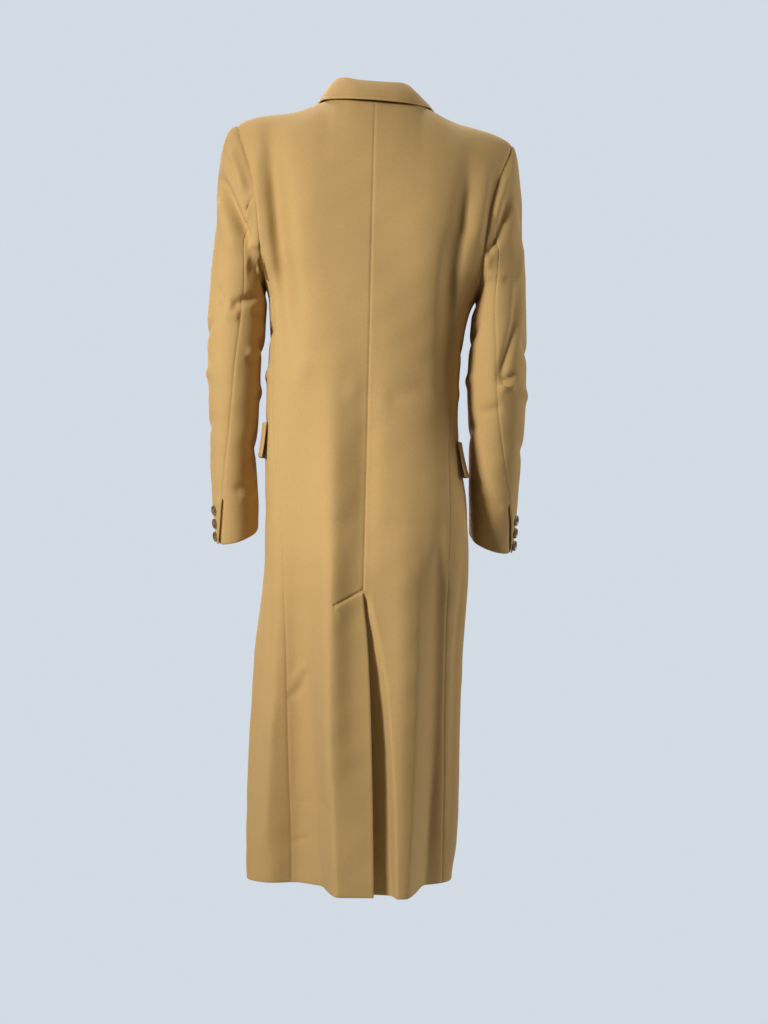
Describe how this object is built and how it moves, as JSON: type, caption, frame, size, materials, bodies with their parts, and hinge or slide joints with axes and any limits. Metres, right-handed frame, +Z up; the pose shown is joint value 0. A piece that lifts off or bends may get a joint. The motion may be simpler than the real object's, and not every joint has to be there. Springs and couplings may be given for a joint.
{
  "type": "wool overcoat",
  "caption": "Long single-breasted wool overcoat with notched lapels, a centre-back seam that opens into a deep vent, side pocket flaps and buttoned cuffs, filled out as when worn",
  "frame": {"origin": "Middle of the neck's base, level with the top of the shoulders, where a wearer's neck or a stand's shoulders would hold the coat.", "axes": "+Z runs up from the hem to the collar, the front faces -Y and the back +Y, and the wearer's left is at +X."},
  "size_m": [0.4772, 0.3092, 1.1979],
  "materials": {
    "wool": "soft brushed camel wool, matt with a fine nap",
    "horn": "dark brown horn-like button, satin"
  },
  "bodies": {
    "root": {"back_left": "wool", "back_right": "wool", "side_left": "wool", "side_right": "wool", "front_left": "wool", "front_right": "wool", "sleeve_top_left": "wool", "sleeve_under_left": "wool", "sleeve_top_right": "wool", "sleeve_under_right": "wool", "lapel_left": "wool", "lapel_right": "wool", "collar": "wool", "flap_left": "wool", "flap_right": "wool", "front_button_1": "horn", "front_button_2": "horn", "front_button_3": "horn", "cuff_button_left_1": "horn", "cuff_button_left_2": "horn", "cuff_button_left_3": "horn", "cuff_button_right_1": "horn", "cuff_button_right_2": "horn", "cuff_button_right_3": "horn"}
  },
  "joints": []
}
